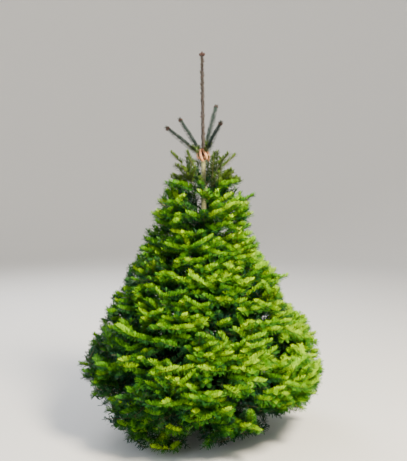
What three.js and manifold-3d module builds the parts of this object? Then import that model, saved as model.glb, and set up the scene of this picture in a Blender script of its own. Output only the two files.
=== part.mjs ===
// A young fir, 2.23 m tall, that grows in the ground: a trunk with a long bare leader, boughs in yearly
// whorls, and masses of needles. Millimetres, +Z up, the ground is z = 0 and the trunk's foot stands on the
// origin. Bearings are in degrees, from +X towards +Y. +Y points away from the front of the tree.

import * as THREE from 'three';
import { mergeVertices } from 'three/addons/utils/BufferGeometryUtils.js';
import Module from 'manifold-3d';

const wasm = await Module();
wasm.setup();

// The trunk
const HEIGHT = 2233;
const TRUNK_RADIUS = 33;          // above the root flare
const LEADER_FOOT = 1618;         // where this year's bare leader starts
const LEADER_RADIUS = 9.5;
const LEADER_TIP_RADIUS = 5.5;
const TRUNK_LEAN = -9;            // sideways, from the foot to the tip
const TRUNK_SWAY = 5;
const FLARE = 26;                 // added to the radius at the ground
const FLARE_FADE = 38;            // height over which the flare falls to a third
const FLARE_RIBS = 5;
const RIB_DEPTH = 0.16;           // share of the radius at the ground
const LEADER_STEP = 1.5;          // last year's wood is that much thicker where the leader leaves it
const BUD_RADIUS = 8.5;           // the cluster of buds on the leader's tip
const BUD_LENGTH = 38;
const BUD_POINT = 1.5;
const TRUNK_SIDES = 12;
const FLARE_RINGS = [0, 12, 30, 60, 110];
const LEADER_RINGS = [LEADER_FOOT + 24, 1900];
const BUD_RINGS = [0, 0.3, 0.6, 0.85, 1]; // shares of the bud's length

// One row for each year's whorl, from the second one down. height is where its boughs leave the trunk, reach
// and lift go from there to a bough's tip, sag is how far the middle hangs under the straight line, and bare
// is the share of the length that is a bough of its own. steps is the number of straight pieces in its
// mass's stem.
const WHORLS = [
  { height: 1440, boughs: 5, bearing: 26, reach: 190, lift: 190, sag: -6, bare: 0, steps: 2 },
  { height: 1230, boughs: 5, bearing: -8, reach: 285, lift: 150, sag: -4, bare: 0, steps: 2 },
  { height: 1020, boughs: 5, bearing: 32, reach: 360, lift: 115, sag: 4, bare: 0, steps: 2 },
  { height: 820, boughs: 5, bearing: -4, reach: 468, lift: 110, sag: 10, bare: 0, steps: 2 },
  { height: 630, boughs: 5, bearing: 34, reach: 588, lift: 105, sag: 14, bare: 0, steps: 3 },
  { height: 455, boughs: 5, bearing: 2, reach: 675, lift: 100, sag: 18, bare: 0.3, steps: 3 },
  { height: 300, boughs: 5, bearing: 38, reach: 732, lift: 95, sag: 22, bare: 0.3, steps: 3 },
  { height: 165, boughs: 5, bearing: 6, reach: 650, lift: 40, sag: 24, bare: 0.28, steps: 3 },
];

// The top whorl's four shoots are one year old and unlike each other
const TOP_SHOOTS = [
  { bearing: 66, reach: 190, lift: 312 },
  { bearing: 146, reach: 168, lift: 228 },
  { bearing: 207, reach: 232, lift: 168 },
  { bearing: 304, reach: 176, lift: 196 },
];

const BEARING_SPREAD = 7;         // how far a bough may stray from its even place
const REACH_SPREAD = 0.05;        // shares of the whorl's own reach and lift
const LIFT_SPREAD = 0.15;
const SKIRT_REACH = 420;          // the crown's radius where its lowest needles hang
const SKIRT_HEIGHT = 70;
const PEAK_REACH = 200;           // the same around the leader's lower half
const PEAK_HEIGHT = LEADER_FOOT + 300;

// Boughs, twigs and sprays
const BOUGH_SIDES = 6;
const BOUGH_THICKNESS = 0.0125;   // radius at the trunk for each millimetre of reach
const LEAST_STEM = 5.2;           // radius of a mass's stem at its far end
const TWIG_RADIUS = 2.2;
const TWIG_ANGLE = 52;            // between a twig and the stem that it leaves
const ANGLE_SPREAD = 5;
const TWIG_TILT = 0.18;           // how far side shoots rise or fall, as a slope
const TILT_SPREAD = 0.1;
const TWIG_SHARE = 1.1;           // a side twig's length for each millimetre of stem beyond it
const PAIR_STEP = 1.25;           // along the stem between two pairs, for each millimetre of a spray's width
const PAIR_SETBACK = 10;          // from the last pair to the stem's own spray
const FIRST_PAIR = 0.2;           // share of the bough's length, or else this far past its bare part:
const PAST_BARE = 0.05;
const RISE_ANGLE = 40;            // of the single shoots that rise or hang between the pairs
const RISE_SPREAD = 0.9;          // how far they turn to either hand, in radians
const SINGLE_SETBACK = 0.6;       // of the first one, beside the distance between two
const SINGLE_LENGTH = 150;
const FIRST_WITH_SINGLES = 2;     // the whorls above this one have none, counted from 0 at the top
const STEM_SHARE = 0.8;           // a mass's stem beside its bough's foot
const BOUGH_TAPER = 0.87;         // a bough's end beside its foot
const BOUGH_STEPS = 3;
const TOP_WIDTH = 28;             // of a top shoot's spray, whose needles lie close
const TOP_PITCH = 40;
const SPRAY_WIDTHS = [50, 84];    // of the other sprays, at least and at most
const SPRAY_FOOT = 22;            // a spray is this wide, and wider with its bough's reach
const SPRAY_GROWTH = 0.15;
const SPRAY_HEIGHT = 0.92;        // shares of a spray's width
const LEAST_SPRAY = 0.85;
const SPRAY_APART = 0.62;
const SPRAY_MARKS = [0.3, 0.6, 0.9]; // where along two sprays the distance between them counts
const SWELL_EARLY = 0.75;         // a spray is widest a little before its middle
const SWELL_FULL = 0.6;
const TOOTH_PLACE = 0.25;         // shares of the stretch that one tooth takes
const TOOTH_SLOPE = 0.12;
const NOTCH = 0.48;               // how far a notch lies out, beside the tooth before it
const UNDERSIDE = 0.35;           // share of a spray's height that lies under its twig
const LEAST_BARE = 30;            // of a side shoot, from the stem to its first needles
const BARE_SHARE = 0.16;
const TIP_SPRAY = 140;            // the stem's own spray, at its tip
const YOUNG_BARE = 0.1;           // share of a top shoot's stem that has no needles
const SHORTENED = [1, 0.86, 0.72, 0.58]; // shares of its length that are tried for a shoot

// Room that is kept
const SEAT_GAP = 0.3;             // a stem or bough from what carries it
const SPACE_GAP = 1;              // between the spaces of two masses
const GROUND_GAP = 14;
const TRUNK_GAP = 4;              // a spray's corners from the trunk
const TWIG_ROOM = 26;             // a twig's axis from the edge of its space
const TWIG_START = 20;            // a shoot is at least this long before its room is tested
const TWIG_STEP = 10;
const HEART_SHARE = 0.42;         // how far out on its bough the heart of a mass's space lies
const TOP_HEART = 30;             // the same for the top whorl, in millimetres
const SEED = 20;

const UP = new THREE.Vector3(0, 0, 1);

// A repeatable stream of numbers from 0 to 1
function dice(seed) {
  let state = seed >>> 0;
  return () => {
    state = (state + 0x6d2b79f5) >>> 0;
    let t = Math.imul(state ^ (state >>> 15), state | 1);
    t ^= t + Math.imul(t ^ (t >>> 7), t | 61);
    return ((t ^ (t >>> 14)) >>> 0) / 4294967296;
  };
}

const swing = (roll, most) => (2 * roll() - 1) * most;

// The trunk's axis and radius at a height
function trunkAxis(z) {
  const share = z / HEIGHT;
  return new THREE.Vector3(
    TRUNK_LEAN * share * share + TRUNK_SWAY * Math.sin(Math.PI * share),
    TRUNK_SWAY * Math.sin(2 * Math.PI * share),
    z,
  );
}

function trunkRadius(z) {
  if (z > HEIGHT - BUD_LENGTH) {
    const swelling = Math.sin(Math.PI * ((z - HEIGHT + BUD_LENGTH) / BUD_LENGTH) ** 0.8);
    const base = THREE.MathUtils.mapLinear(z, HEIGHT - BUD_LENGTH, HEIGHT, LEADER_TIP_RADIUS, BUD_POINT);
    return base + (BUD_RADIUS - base) * swelling;
  }
  if (z > LEADER_FOOT) {
    const share = (z - LEADER_FOOT) / (HEIGHT - LEADER_FOOT);
    return THREE.MathUtils.lerp(LEADER_RADIUS, LEADER_TIP_RADIUS, share);
  }
  const taper = THREE.MathUtils.lerp(TRUNK_RADIUS, LEADER_RADIUS + LEADER_STEP, z / LEADER_FOOT);
  return taper + FLARE * Math.exp(-z / FLARE_FADE);
}

// The whorls with the top one as the first
const whorls = [{ height: LEADER_FOOT, shoots: TOP_SHOOTS, sag: 0, bare: 0, steps: 1 }, ...WHORLS];

// Every bough of every whorl, with the mass of needles that it carries
const boughs = whorls.flatMap((whorl, row) => {
  const roll = dice(SEED + 1000 * row);
  const count = whorl.shoots ? whorl.shoots.length : whorl.boughs;
  return Array.from({ length: count }, (_, place) => {
    const young = whorl.shoots?.[place];
    const bearing = young?.bearing ?? whorl.bearing + (360 * place) / count + swing(roll, BEARING_SPREAD);
    const reach = young?.reach ?? whorl.reach * (1 + swing(roll, REACH_SPREAD));
    const lift = young?.lift ?? whorl.lift * (1 + swing(roll, LIFT_SPREAD));
    const bough = { ...whorl, row, place, reach, lift, bearing: THREE.MathUtils.degToRad(bearing) };
    bough.root = trunkAxis(whorl.height);
    const straight = boughPoint(bough, 1).sub(bough.root).normalize();
    const far = young ? TOP_HEART : HEART_SHARE * Math.hypot(whorl.reach, whorl.lift);
    bough.heart = bough.root.clone().addScaledVector(straight, far);
    return bough;
  });
});

function boughPoint(bough, share) {
  const out = bough.reach * share;
  const rise = bough.lift * share - 4 * bough.sag * share * (1 - share);
  return new THREE.Vector3(
    bough.root.x + out * Math.cos(bough.bearing),
    bough.root.y + out * Math.sin(bough.bearing),
    bough.root.z + rise,
  );
}

function boughHeading(bough, share) {
  return boughPoint(bough, share + 0.01).sub(boughPoint(bough, share - 0.01)).normalize();
}

// The crown's outline: its radius at a height, through the tips of the whorls
const outline = [
  { z: SKIRT_HEIGHT, reach: SKIRT_REACH },
  ...WHORLS.map((whorl) => ({ z: whorl.height + whorl.lift, reach: whorl.reach })).reverse(),
  { z: PEAK_HEIGHT, reach: PEAK_REACH },
];

function crownRadius(z) {
  if (z <= outline[0].z) return outline[0].reach;
  const upper = outline.findIndex((mark) => mark.z > z);
  if (upper < 0) return outline.at(-1).reach;
  const [low, high] = [outline[upper - 1], outline[upper]];
  return THREE.MathUtils.mapLinear(z, low.z, high.z, low.reach, high.reach);
}

// A mass's space holds the points that are nearer to its heart than to any other. Each heart is weighed so
// that the spaces of one whorl meet on the trunk's axis. Such spaces are convex, so a shape whose corners
// are all inside lies inside.
const weight = (bough) => bough.heart.distanceToSquared(bough.root);

function room(bough, point) {
  const own = point.distanceToSquared(bough.heart) - weight(bough);
  const others = boughs.filter((other) => other !== bough).map((other) => {
    const far = point.distanceToSquared(other.heart) - weight(other);
    return (far - own) / (2 * other.heart.distanceTo(bough.heart));
  });
  return Math.min(...others);
}

function insideCrown(point) {
  const axis = trunkAxis(point.z);
  const away = Math.hypot(point.x - axis.x, point.y - axis.y);
  return away < crownRadius(point.z) && away > trunkRadius(point.z) + TRUNK_GAP;
}

// Solids and meshes
function solid(geometry) {
  geometry.deleteAttribute('normal');
  geometry.deleteAttribute('uv');
  const merged = mergeVertices(geometry, 1e-3);
  return new wasm.Manifold(new wasm.Mesh({
    numProp: 3,
    vertProperties: new Float32Array(merged.attributes.position.array),
    triVerts: new Uint32Array(merged.index.array),
  }));
}

function largestBody(shape) {
  return shape.decompose().sort((a, b) => b.volume() - a.volume())[0];
}

function mesh(name, shape, material) {
  const { vertProperties, triVerts } = shape.getMesh();
  const geometry = new THREE.BufferGeometry();
  geometry.setAttribute('position', new THREE.BufferAttribute(vertProperties, 3));
  geometry.setIndex(new THREE.BufferAttribute(triVerts, 1));
  geometry.computeVertexNormals();
  const body = new THREE.Mesh(geometry, material);
  body.name = name;
  return body;
}

// A round limb: a cylinder whose rings are moved to points on a path and turned across it
function limb(path, heading, radius, sides, steps) {
  const geometry = new THREE.CylinderGeometry(1, 1, 1, sides, steps);
  const corners = geometry.attributes.position;
  for (let i = 0; i < corners.count; i += 1) {
    const share = corners.getY(i) + 0.5;
    const along = heading(share);
    const side = new THREE.Vector3().crossVectors(along, UP).normalize();
    const above = new THREE.Vector3().crossVectors(side, along);
    const place = path(share)
      .addScaledVector(side, corners.getX(i) * radius(share))
      .addScaledVector(above, corners.getZ(i) * radius(share));
    corners.setXYZ(i, place.x, place.y, place.z);
  }
  return solid(geometry);
}

// The trunk, with room around it when it is used as a cutter
function trunk(extra) {
  const marks = [
    ...FLARE_RINGS,
    ...whorls.map((whorl) => whorl.height).reverse(),
    ...LEADER_RINGS,
    ...BUD_RINGS.map((share) => HEIGHT - BUD_LENGTH * (1 - share)),
  ];
  const geometry = new THREE.CylinderGeometry(1, 1, marks.length - 1, TRUNK_SIDES, marks.length - 1);
  const corners = geometry.attributes.position;
  for (let i = 0; i < corners.count; i += 1) {
    const z = marks[Math.round(corners.getY(i) + (marks.length - 1) / 2)];
    const turn = Math.atan2(corners.getZ(i), corners.getX(i));
    const ribs = 1 + RIB_DEPTH * Math.cos(FLARE_RIBS * turn) * Math.exp(-z / FLARE_FADE);
    const size = Math.hypot(corners.getX(i), corners.getZ(i)) * (trunkRadius(z) * ribs + extra);
    const axis = trunkAxis(z);
    corners.setXYZ(i, axis.x + size * Math.cos(turn), axis.y - size * Math.sin(turn), z);
  }
  return solid(geometry);
}

// A shoot: a three-sided twig through its stations that ends in a spray of needles. The spray is a slim core
// with a ridge on top and teeth on both hands, and each tooth is a side shoot with its needles, leaning to
// the tip.
function shoot(stations, length, size) {
  const points = [];
  const corner = (station, along, across, above) => {
    points.push(station.point.clone()
      .addScaledVector(station.heading, along)
      .addScaledVector(station.side, across)
      .addScaledVector(station.above, above));
    return points.length - 1;
  };
  const rims = [[], [], []];
  const mark = (rim, station, along, across, above) => {
    rims[rim].push({ order: station.order + along, corner: corner(station, along, across, above) });
  };
  stations.forEach((station, number) => {
    station.order = number - stations.length + 1;
    station.side = new THREE.Vector3().crossVectors(station.heading, UP).normalize();
    station.above = new THREE.Vector3().crossVectors(station.side, station.heading);
    rims.forEach((_, rim) => {
      const turn = THREE.MathUtils.degToRad(120 * rim - 30);
      mark(rim, station, 0, station.radius * Math.cos(turn), station.radius * Math.sin(turn));
    });
  });
  const base = stations.at(-1);
  const teeth = Math.max(2, Math.round(length / size.pitch));
  const swell = (share) => Math.sin(Math.PI * share ** SWELL_EARLY) ** SWELL_FULL;
  for (let tooth = 1; tooth <= teeth; tooth += 1) {
    const share = (tooth - TOOTH_PLACE) / (teeth + TOOTH_PLACE);
    const notch = share + TOOTH_SLOPE / teeth;
    for (const [place, out] of [[share, swell(share)], [notch, NOTCH * swell(notch)]]) {
      if (place === notch && tooth === teeth) break;
      const across = (size.width / 2) * out;
      const below = -UNDERSIDE * size.height * swell(place);
      mark(0, base, place * length, across, below);
      mark(2, base, place * length, -across, below);
    }
    if (tooth < teeth) mark(1, base, notch * length, 0, (1 - UNDERSIDE) * size.height * swell(notch));
  }
  const tip = { order: length, corner: corner(base, length, 0, 0) };
  rims.forEach((rim) => rim.push(tip));
  const index = [rims[0][0].corner, rims[1][0].corner, rims[2][0].corner];
  rims.forEach((here, number) => {
    const there = rims[(number + 1) % 3];
    let [a, b] = [0, 0];
    while (a < here.length - 1 || b < there.length - 1) {
      const [ahead, across] = [here[a + 1], there[b + 1]];
      const forward = !across || (ahead !== undefined && ahead.order <= across.order);
      const next = forward ? ahead : across;
      const face = [here[a].corner, next.corner, there[b].corner];
      if (new Set(face).size === 3) index.push(...face);
      if (forward) a += 1;
      else b += 1;
    }
  });
  const geometry = new THREE.BufferGeometry();
  geometry.setAttribute('position', new THREE.Float32BufferAttribute(points.flatMap((p) => p.toArray()), 3));
  geometry.setIndex(index);
  return { body: solid(geometry), outerCorners: points.slice(3) };
}

// How wide and high a bough's sprays are, how much shoot one tooth takes, the shortest spray, and how near
// two of them may lie
function spraySize(bough) {
  const older = THREE.MathUtils.clamp(SPRAY_FOOT + SPRAY_GROWTH * bough.reach, ...SPRAY_WIDTHS);
  const width = bough.row === 0 ? TOP_WIDTH : older;
  return {
    width,
    height: SPRAY_HEIGHT * width,
    pitch: Math.max(width, TOP_PITCH),
    least: LEAST_SPRAY * width,
    apart: SPRAY_APART * width,
  };
}

// One mass of needles: a stem that ends in a spray, with side shoots in pairs, and single ones that rise or
// hang between them. A shoot grows until it would leave its space or the crown. It is shortened, and then
// left out, where its spray doesn't fit or lies too near another.
function mass(bough, number) {
  const roll = dice(SEED + 7 * number);
  const size = spraySize(bough);
  const thick = Math.max(BOUGH_THICKNESS * bough.reach * STEM_SHARE, LEAST_STEM);
  const tip = boughPoint(bough, 1);
  const total = tip.distanceTo(bough.root);
  const start = bough.bare > 0 ? bough.bare + SEAT_GAP / total : 0;
  const last = bough.steps > 1 ? 1 - TIP_SPRAY / total : YOUNG_BARE;
  const stations = Array.from({ length: bough.steps + 1 }, (_, step) => {
    const share = THREE.MathUtils.lerp(start, last, step / bough.steps);
    const point = boughPoint(bough, share);
    const heading = step === bough.steps ? tip.clone().sub(point).normalize() : boughHeading(bough, share);
    return { point, heading, radius: THREE.MathUtils.lerp(thick, LEAST_STEM, step / bough.steps) };
  });
  const end = stations.at(-1);
  const bodies = [shoot(stations, tip.distanceTo(end.point), size).body];
  const taken = SPRAY_MARKS.map((share) => new THREE.Vector3().lerpVectors(end.point, tip, share));

  const grow = (share, heading, wanted) => {
    const root = boughPoint(bough, share);
    const ahead = (far) => root.clone().addScaledVector(heading, far);
    let far = TWIG_START;
    while (far < wanted && room(bough, ahead(far)) > TWIG_ROOM && insideCrown(ahead(far + TWIG_STEP))) {
      far += TWIG_STEP;
    }
    for (const shortened of SHORTENED) {
      const reached = far * shortened;
      const bare = Math.max(LEAST_BARE, BARE_SHARE * reached);
      const length = reached - bare;
      if (length < size.least) return;
      const from = { point: root, heading, radius: TWIG_RADIUS };
      const { body, outerCorners } = shoot([from, { ...from, point: ahead(bare) }], length, size);
      const own = SPRAY_MARKS.map((part) => ahead(bare + part * length));
      const fits = outerCorners.every((point) => room(bough, point) > SPACE_GAP
        && insideCrown(point) && point.z > GROUND_GAP);
      const crowded = own.some((point) => taken.some((other) => other.distanceTo(point) < size.apart));
      if (!fits || crowded) continue;
      bodies.push(body);
      taken.push(...own);
      return;
    }
  };

  const first = Math.max(bough.bare + PAST_BARE, FIRST_PAIR);
  const outermost = last - PAIR_SETBACK / total;
  const steps = Math.round(((last - first) * total) / (PAIR_STEP * size.width));
  const gaps = bough.steps > 1 ? Math.max(1, steps) : 0;
  for (let pair = 0; gaps > 0 && pair <= gaps; pair += 1) {
    const share = THREE.MathUtils.lerp(outermost, first, pair / gaps);
    const beyond = tip.distanceTo(boughPoint(bough, share));
    for (const hand of [-1, 1]) {
      const angle = THREE.MathUtils.degToRad(TWIG_ANGLE + swing(roll, ANGLE_SPREAD)) * hand;
      const tilt = TWIG_TILT * (pair % 2 ? hand : -hand) + swing(roll, TILT_SPREAD);
      const heading = boughHeading(bough, share).applyAxisAngle(UP, angle).addScaledVector(UP, tilt);
      grow(share, heading.normalize(), Math.max(beyond * TWIG_SHARE, SINGLE_LENGTH));
    }
  }
  const singles = bough.row < FIRST_WITH_SINGLES ? 0 : 2 * gaps;
  for (let single = 0; single < singles; single += 1) {
    const share = THREE.MathUtils.lerp(outermost, first, (single + SINGLE_SETBACK) / singles);
    const heading = boughHeading(bough, share);
    const level = new THREE.Vector3().crossVectors(heading, UP).normalize();
    const rise = THREE.MathUtils.degToRad(single % 2 ? -RISE_ANGLE : RISE_ANGLE);
    heading.applyAxisAngle(level, rise).applyAxisAngle(UP, swing(roll, RISE_SPREAD));
    grow(share, heading, SINGLE_LENGTH);
  }
  const whole = wasm.Manifold.union(bodies);
  return largestBody(bough.bare > 0 ? whole : whole.subtract(cutter));
}

function bareBough(bough) {
  const thick = BOUGH_THICKNESS * bough.reach;
  const path = (share) => boughPoint(bough, bough.bare * share);
  const heading = (share) => boughHeading(bough, bough.bare * share);
  const radius = (share) => THREE.MathUtils.lerp(thick, thick * BOUGH_TAPER, share);
  return largestBody(limb(path, heading, radius, BOUGH_SIDES, BOUGH_STEPS).subtract(cutter));
}

const bark = new THREE.MeshStandardMaterial({ name: 'bark', color: '#7d7a62', roughness: 0.9 });
const needles = new THREE.MeshStandardMaterial({ name: 'needles', color: '#5f8a26', roughness: 0.6 });

const tree = new THREE.Group();
const cutter = trunk(SEAT_GAP);
tree.add(mesh('trunk', trunk(0), bark));
boughs.forEach((bough, number) => {
  const label = `${bough.row + 1}_${bough.place + 1}`;
  if (bough.bare) tree.add(mesh(`bough_${label}`, bareBough(bough), bark));
  tree.add(mesh(`needles_${label}`, mass(bough, number), needles));
});

export default tree;
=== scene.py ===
# The looks of a young fir, 2.23 m tall, that grows in the ground. The frame is in metres. The growing rule
# counts in millimetres, and MM turns its lengths to metres when a mesh is made.

import math

import bpy
import numpy as np
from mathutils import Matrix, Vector


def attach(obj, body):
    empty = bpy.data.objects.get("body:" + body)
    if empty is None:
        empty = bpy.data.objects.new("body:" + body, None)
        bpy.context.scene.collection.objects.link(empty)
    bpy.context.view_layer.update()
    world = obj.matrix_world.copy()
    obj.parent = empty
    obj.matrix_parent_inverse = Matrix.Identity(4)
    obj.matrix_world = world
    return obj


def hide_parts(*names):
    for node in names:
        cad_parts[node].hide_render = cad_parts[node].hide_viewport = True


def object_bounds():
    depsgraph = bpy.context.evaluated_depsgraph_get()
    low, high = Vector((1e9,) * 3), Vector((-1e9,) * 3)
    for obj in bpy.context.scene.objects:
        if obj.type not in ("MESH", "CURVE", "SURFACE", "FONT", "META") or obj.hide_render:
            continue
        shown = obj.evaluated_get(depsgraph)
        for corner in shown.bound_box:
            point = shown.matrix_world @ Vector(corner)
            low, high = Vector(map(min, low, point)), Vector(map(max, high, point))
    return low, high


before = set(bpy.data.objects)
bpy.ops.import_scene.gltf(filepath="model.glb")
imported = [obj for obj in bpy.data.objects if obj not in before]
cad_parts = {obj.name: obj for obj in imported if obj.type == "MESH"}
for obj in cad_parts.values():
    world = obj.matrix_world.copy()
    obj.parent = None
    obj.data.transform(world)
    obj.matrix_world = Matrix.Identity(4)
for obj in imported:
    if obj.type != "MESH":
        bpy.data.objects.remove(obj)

cad_box = [list(corner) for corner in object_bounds()]
mass_nodes = [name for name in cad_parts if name.startswith("needles_")]
bough_nodes = [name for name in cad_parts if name.startswith("bough_")]

MM = 0.001
UP = np.array([0.0, 0.0, 1.0])
BODY = "root"

# The trunk, as its solid has it
HEIGHT = 2233
TRUNK_RADIUS = 33
LEADER_FOOT = 1618
LEADER_RADIUS = 9.5
LEADER_TIP_RADIUS = 5.5
LEADER_STEP = 1.5         # how much thicker the trunk is than the leader, where the leader begins
TRUNK_LEAN = -9
TRUNK_SWAY = 5
FLARE = 26
FLARE_FADE = 38
FLARE_RIBS = 5
RIB_DEPTH = 0.16

# The whorls, as their solids have them: height of the roots, boughs, first bearing, reach, lift and sag
WHORLS = [
    (1440, 5, 26, 190, 190, -6),
    (1230, 5, -8, 285, 150, -4),
    (1020, 5, 32, 360, 115, 4),
    (820, 5, -4, 468, 110, 10),
    (630, 5, 34, 588, 105, 14),
    (455, 5, 2, 675, 100, 18),
    (300, 5, 38, 732, 95, 22),
    (165, 5, 6, 650, 40, 24),
]
TOP_SHOOTS = [(66, 190, 312), (146, 168, 228), (207, 232, 168), (304, 176, 196)]   # bearing, reach and lift
BEARING_SPREAD = 7
REACH_SPREAD = 0.05
LIFT_SPREAD = 0.15
HEART_SHARE = 0.42        # where a mass has the heart of its space, along its bough
TOP_HEART = 30
SEED = 20
WHORL_SEEDS = 1000
MASS_SEEDS = 7

# The crown's outline runs through the tips of the whorls and through these heights and radii below and above
# them. It is fuller near the ground than the solids, as the photograph shows it
SKIRT = (50, 560)
PEAK = (LEADER_FOOT + 300, 200)
# By how much the crown is narrower at some heights: near its top, on its right side, and near the ground
# except on its left side
PEAK_TRIM = [(1450, 0), (1560, 30), (1680, 70)]
SIDE_TRIM = [(650, 0), (750, 56), (830, 50), (900, 14), (950, 14), (1050, 46), (1200, 46), (1400, 0)]
SKIRT_TRIM = [(50, 150), (130, 90), (230, 0)]
SKIRT_EDGE = (0.5, 1.5)   # the share of the skirt's trim in front and behind, and what it gains to the right
# Space kept free of shoots: heights and radius round the tape, and heights where the trunk's front shows
TAPE_SPACE = (1492, 1690, 62)
WINDOWS = [(1512, 1600), (1324, 1374)]
WINDOW_HALF = 44

# Side shoots: the source's rule, carried on to finer shoots. One row for each order of branching: the
# distance between two pairs, their angle, their length for each millimetre of shoot beyond them, the
# shortest and the longest, how far their ends turn up, and the share of the shoot below the first pair
ORDERS = [
    {"pitch": 76, "angle": 50, "share": 0.95, "least": 110, "most": 420, "turn": 0.10, "from": 0.14},
    {"pitch": 66, "angle": 47, "share": 0.85, "least": 100, "most": 250, "turn": 0.15, "from": 0.14},
    {"pitch": 66, "angle": 45, "share": 0.85, "least": 92, "most": 180, "turn": 0.18, "from": 0.25},
]
THIN_ORDERS = 2           # the orders on the thin whorl under the leader
STEM_PACE = 30
STEM_POINTS = 4
CORE = 250                # depth under the crown's outline past which no fine shoots grow
FIRST_ROOM = 26           # from a shoot's root to its first pair
LAST_ROOM = 14            # from its last pair to its tip
TANGENT = 6               # half the length over which a shoot's heading is taken
PITCH_SPREAD = 0.15
ANGLE_SPREAD = 8
TILT = 0.1
TILT_SPREAD = 0.14
LENGTH_SPREAD = 0.16
LEAST_WANTED = 1.3        # a pair sets out to grow this many times its least length
RISE_ANGLE = 40           # single shoots above and below a stem
RISE_SPREAD = 0.9
SINGLE_LENGTH = 150

# Small boughs that grow from the trunk between the whorls: climb from the whorl as a share of the distance
# to the next one, turn as a share of half the angle between two boughs, and reach as a share of the crown's
# radius
SMALL_BOUGHS = [(0.34, 0.45, 0.96), (0.3, -0.5, 0.9), (-0.32, -0.4, 0.97), (-0.36, 0.55, 0.92),
                (0.02, 0.95, 0.85), (-0.6, 0.05, 0.9)]
SMALL_ORDER = 0.5
SMALL_CLIMB_SPREAD = 0.08
SMALL_FREE = 130          # length beside the trunk that may leave the space of its mass
SMALL_LEAST = 90
SMALL_TURN = 0.05
SMALL_LOWEST_FOOT = 32
SMALL_LOWEST_TIP = 60
SMALL_THINNING = 3        # only each third of its points counts for its side shoots

# Where a shoot may grow
STEP = 10                 # between two points of a shoot
ROOM = 2                  # its axis from the edge of its mass's space
CROWN_ROOM = 4            # and from the crown's outline, where it may be up to CROWN_SPREAD more
CROWN_SPREAD = 34
BOX_ROOM = 12             # how far past the solids' box an axis may go, so that its needles stay in reach
GROUND_ROOM = 22          # its axis from the ground
CELL = 36                 # only one shoot passes through a cube of this side
CROWDED = 0.45            # share of a shoot's cubes that may be taken
FOOT_POINTS = 3           # points at its root for which no cube counts


# A repeatable stream of numbers from 0 to 1
def dice(seed):
    mask = 0xFFFFFFFF
    state = seed & mask

    def roll():
        nonlocal state
        state = (state + 0x6D2B79F5) & mask
        t = ((state ^ (state >> 15)) * (state | 1)) & mask
        t ^= (t + (((t ^ (t >> 7)) * (t | 61)) & mask)) & mask
        return ((t ^ (t >> 14)) & mask) / 4294967296

    return roll


def swing(roll, most):
    return (2 * roll() - 1) * most


def unit(vector):
    return vector / np.linalg.norm(vector)


def turned(vector, axis, angle):
    """vector turned about a unit axis."""
    turn = math.cos(angle) * vector + math.sin(angle) * np.cross(axis, vector)
    return turn + (1 - math.cos(angle)) * np.dot(axis, vector) * axis


def sideways(bearing):
    return np.array([math.cos(bearing), math.sin(bearing), 0])


def along(line):
    """How far each point of a line lies from its first one."""
    steps = np.linalg.norm(np.diff(line, axis=0), axis=1)
    return np.concatenate([[0], np.cumsum(steps)])


def even_picks(count, keep):
    """Which points to keep, out of count, for a line of about that many, with both its ends."""
    return np.linspace(0, count - 1, max(2, keep)).round().astype(int)


# The trunk and the boughs, in millimetres
def trunk_axis(z):
    share = z / HEIGHT
    return np.array([
        TRUNK_LEAN * share * share + TRUNK_SWAY * math.sin(math.pi * share),
        TRUNK_SWAY * math.sin(2 * math.pi * share),
        z,
    ])


def trunk_radius(z):
    if z > LEADER_FOOT:
        share = (z - LEADER_FOOT) / (HEIGHT - LEADER_FOOT)
        return LEADER_RADIUS + (LEADER_TIP_RADIUS - LEADER_RADIUS) * share
    share = z / LEADER_FOOT
    taper = TRUNK_RADIUS + (LEADER_RADIUS + LEADER_STEP - TRUNK_RADIUS) * share
    return taper + FLARE * math.exp(-z / FLARE_FADE)


def bough_point(bough, share):
    out = bough["reach"] * share
    rise = bough["lift"] * share - 4 * bough["sag"] * share * (1 - share)
    return bough["root"] + np.array([
        out * math.cos(bough["bearing"]), out * math.sin(bough["bearing"]), rise])


def bough_heading(bough, share, near=0.01):
    return unit(bough_point(bough, share + near) - bough_point(bough, share - near))


def all_boughs():
    """Every bough of every whorl, from the top, drawn with the source's own numbers."""
    made = []
    whorls = [(LEADER_FOOT, len(TOP_SHOOTS), 0, 0, 0, 0), *WHORLS]
    for row, (height, count, first, reach, lift, sag) in enumerate(whorls):
        roll = dice(SEED + WHORL_SEEDS * row)
        for place in range(count):
            bough = {"row": row, "root": trunk_axis(height), "sag": sag}
            if row == 0:
                degrees, bough["reach"], bough["lift"] = TOP_SHOOTS[place]
            else:
                degrees = first + 360 * place / count + swing(roll, BEARING_SPREAD)
                bough["reach"] = reach * (1 + swing(roll, REACH_SPREAD))
                bough["lift"] = lift * (1 + swing(roll, LIFT_SPREAD))
            bough["bearing"] = math.radians(degrees)
            far = TOP_HEART if row == 0 else HEART_SHARE * math.hypot(reach, lift)
            bough["heart"] = bough["root"] + unit(bough_point(bough, 1) - bough["root"]) * far
            made.append(bough)
    return made


boughs = all_boughs()
hearts = np.array([bough["heart"] for bough in boughs])
roots = np.array([bough["root"] for bough in boughs])
weights = ((hearts - roots) ** 2).sum(1)
outline = np.array([SKIRT, *[(row[0] + row[4], row[3]) for row in reversed(WHORLS)], PEAK], float)
lowest = np.array(cad_box[0]) / MM - BOX_ROOM
highest = np.array(cad_box[1]) / MM + BOX_ROOM
taken = set()


def crown_radius(z):
    return np.interp(z, outline[:, 0], outline[:, 1])


def room(number, points):
    """How far points lie inside the space of a mass: nearer to its heart than to any other, by weight."""
    far = ((points[:, None, :] - hearts[None]) ** 2).sum(2) - weights
    apart = 2 * np.linalg.norm(hearts - hearts[number], axis=1)
    apart[number] = 1
    rooms = (far - far[:, number:number + 1]) / apart
    rooms[:, number] = np.inf
    return rooms.min(1)


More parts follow.
